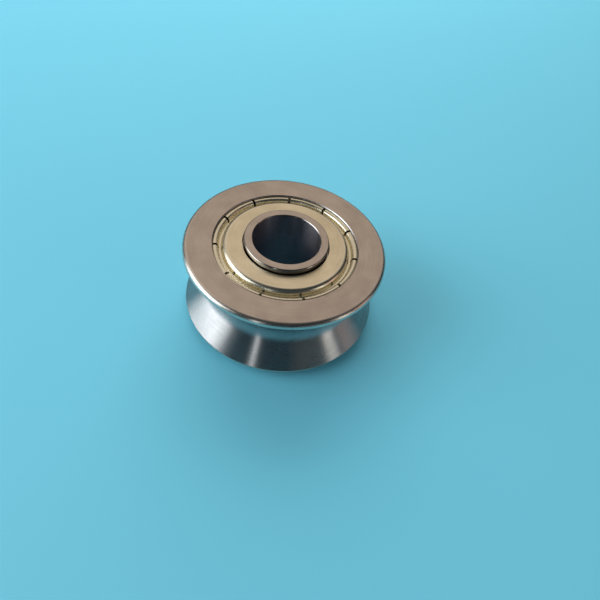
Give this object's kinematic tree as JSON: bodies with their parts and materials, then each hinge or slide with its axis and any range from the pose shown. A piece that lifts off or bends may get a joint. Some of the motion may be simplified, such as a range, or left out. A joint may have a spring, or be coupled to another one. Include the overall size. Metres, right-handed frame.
{
  "type": "v-groove track roller",
  "caption": "Shielded ball-bearing track roller: a thick steel outer ring with a rounded V groove turns on an inner ring that stands proud of both faces and takes a pin or bolt.",
  "frame": {"origin": "centre of the bearing: on its axis, midway between the inner ring's two end faces", "axes": "+Z along the bore towards the upper shield; X and Y across the roller, which is round about Z apart from the shields' slits, the cages' pockets and the balls. At rest the first slit of the upper shield stands 27 degrees from +X and the first upper ball on +X."},
  "size_m": [0.03, 0.03, 0.014],
  "materials": {
    "ring_steel": "ground faces, polished groove and bore",
    "shield_sheet": "pressed and plated sheet, satin",
    "cage_polyamide": "moulded polyamide",
    "ball_steel": "lapped and polished"
  },
  "bodies": {
    "inner_ring": {"inner_ring": "ring_steel"},
    "outer_ring": {"outer_ring": "ring_steel", "shield_upper": "shield_sheet", "shield_lower": "shield_sheet"},
    "cage_upper": {"cage_upper": "cage_polyamide"},
    "cage_lower": {"cage_lower": "cage_polyamide"},
    "ball_upper_1": {"ball_upper_1": "ball_steel"},
    "ball_upper_2": {"ball_upper_2": "ball_steel"},
    "ball_upper_3": {"ball_upper_3": "ball_steel"},
    "ball_upper_4": {"ball_upper_4": "ball_steel"},
    "ball_upper_5": {"ball_upper_5": "ball_steel"},
    "ball_upper_6": {"ball_upper_6": "ball_steel"},
    "ball_upper_7": {"ball_upper_7": "ball_steel"},
    "ball_upper_8": {"ball_upper_8": "ball_steel"},
    "ball_lower_1": {"ball_lower_1": "ball_steel"},
    "ball_lower_2": {"ball_lower_2": "ball_steel"},
    "ball_lower_3": {"ball_lower_3": "ball_steel"},
    "ball_lower_4": {"ball_lower_4": "ball_steel"},
    "ball_lower_5": {"ball_lower_5": "ball_steel"},
    "ball_lower_6": {"ball_lower_6": "ball_steel"},
    "ball_lower_7": {"ball_lower_7": "ball_steel"},
    "ball_lower_8": {"ball_lower_8": "ball_steel"}
  },
  "joints": [
    {"name": "outer_spin", "type": "hinge", "parent": "inner_ring", "child": "outer_ring", "pos_m": [0, 0, 0], "axis": [0, 0, 1], "continuous": true},
    {"name": "cage_upper_spin", "type": "hinge", "parent": "inner_ring", "child": "cage_upper", "pos_m": [0, 0, 0], "axis": [0, 0, 1], "continuous": true},
    {"name": "cage_lower_spin", "type": "hinge", "parent": "inner_ring", "child": "cage_lower", "pos_m": [0, 0, 0], "axis": [0, 0, 1], "continuous": true},
    {"name": "ball_upper_1_spin", "type": "hinge", "parent": "cage_upper", "child": "ball_upper_1", "pos_m": [0.0084, 0, 0.00215], "axis": [0, 0, 1], "continuous": true},
    {"name": "ball_upper_2_spin", "type": "hinge", "parent": "cage_upper", "child": "ball_upper_2", "pos_m": [0.00594, 0.00594, 0.00215], "axis": [0, 0, 1], "continuous": true},
    {"name": "ball_upper_3_spin", "type": "hinge", "parent": "cage_upper", "child": "ball_upper_3", "pos_m": [0, 0.0084, 0.00215], "axis": [0, 0, 1], "continuous": true},
    {"name": "ball_upper_4_spin", "type": "hinge", "parent": "cage_upper", "child": "ball_upper_4", "pos_m": [-0.00594, 0.00594, 0.00215], "axis": [0, 0, 1], "continuous": true},
    {"name": "ball_upper_5_spin", "type": "hinge", "parent": "cage_upper", "child": "ball_upper_5", "pos_m": [-0.0084, 0, 0.00215], "axis": [0, 0, 1], "continuous": true},
    {"name": "ball_upper_6_spin", "type": "hinge", "parent": "cage_upper", "child": "ball_upper_6", "pos_m": [-0.00594, -0.00594, 0.00215], "axis": [0, 0, 1], "continuous": true},
    {"name": "ball_upper_7_spin", "type": "hinge", "parent": "cage_upper", "child": "ball_upper_7", "pos_m": [0, -0.0084, 0.00215], "axis": [0, 0, 1], "continuous": true},
    {"name": "ball_upper_8_spin", "type": "hinge", "parent": "cage_upper", "child": "ball_upper_8", "pos_m": [0.00594, -0.00594, 0.00215], "axis": [0, 0, 1], "continuous": true},
    {"name": "ball_lower_1_spin", "type": "hinge", "parent": "cage_lower", "child": "ball_lower_1", "pos_m": [0.00776, 0.00322, -0.00215], "axis": [0, 0, 1], "continuous": true},
    {"name": "ball_lower_2_spin", "type": "hinge", "parent": "cage_lower", "child": "ball_lower_2", "pos_m": [0.00322, 0.00776, -0.00215], "axis": [0, 0, 1], "continuous": true},
    {"name": "ball_lower_3_spin", "type": "hinge", "parent": "cage_lower", "child": "ball_lower_3", "pos_m": [-0.00322, 0.00776, -0.00215], "axis": [0, 0, 1], "continuous": true},
    {"name": "ball_lower_4_spin", "type": "hinge", "parent": "cage_lower", "child": "ball_lower_4", "pos_m": [-0.00776, 0.00322, -0.00215], "axis": [0, 0, 1], "continuous": true},
    {"name": "ball_lower_5_spin", "type": "hinge", "parent": "cage_lower", "child": "ball_lower_5", "pos_m": [-0.00776, -0.00322, -0.00215], "axis": [0, 0, 1], "continuous": true},
    {"name": "ball_lower_6_spin", "type": "hinge", "parent": "cage_lower", "child": "ball_lower_6", "pos_m": [-0.00322, -0.00776, -0.00215], "axis": [0, 0, 1], "continuous": true},
    {"name": "ball_lower_7_spin", "type": "hinge", "parent": "cage_lower", "child": "ball_lower_7", "pos_m": [0.00322, -0.00776, -0.00215], "axis": [0, 0, 1], "continuous": true},
    {"name": "ball_lower_8_spin", "type": "hinge", "parent": "cage_lower", "child": "ball_lower_8", "pos_m": [0.00776, -0.00322, -0.00215], "axis": [0, 0, 1], "continuous": true}
  ],
  "couplings": [
    {"joint": "cage_upper_spin", "follows": "outer_spin", "ratio": 0.61806},
    {"joint": "cage_lower_spin", "follows": "outer_spin", "ratio": 0.61806},
    {"joint": "ball_upper_1_spin", "follows": "outer_spin", "ratio": 1.9995},
    {"joint": "ball_upper_2_spin", "follows": "outer_spin", "ratio": 1.9995},
    {"joint": "ball_upper_3_spin", "follows": "outer_spin", "ratio": 1.9995},
    {"joint": "ball_upper_4_spin", "follows": "outer_spin", "ratio": 1.9995},
    {"joint": "ball_upper_5_spin", "follows": "outer_spin", "ratio": 1.9995},
    {"joint": "ball_upper_6_spin", "follows": "outer_spin", "ratio": 1.9995},
    {"joint": "ball_upper_7_spin", "follows": "outer_spin", "ratio": 1.9995},
    {"joint": "ball_upper_8_spin", "follows": "outer_spin", "ratio": 1.9995},
    {"joint": "ball_lower_1_spin", "follows": "outer_spin", "ratio": 1.9995},
    {"joint": "ball_lower_2_spin", "follows": "outer_spin", "ratio": 1.9995},
    {"joint": "ball_lower_3_spin", "follows": "outer_spin", "ratio": 1.9995},
    {"joint": "ball_lower_4_spin", "follows": "outer_spin", "ratio": 1.9995},
    {"joint": "ball_lower_5_spin", "follows": "outer_spin", "ratio": 1.9995},
    {"joint": "ball_lower_6_spin", "follows": "outer_spin", "ratio": 1.9995},
    {"joint": "ball_lower_7_spin", "follows": "outer_spin", "ratio": 1.9995},
    {"joint": "ball_lower_8_spin", "follows": "outer_spin", "ratio": 1.9995}
  ]
}
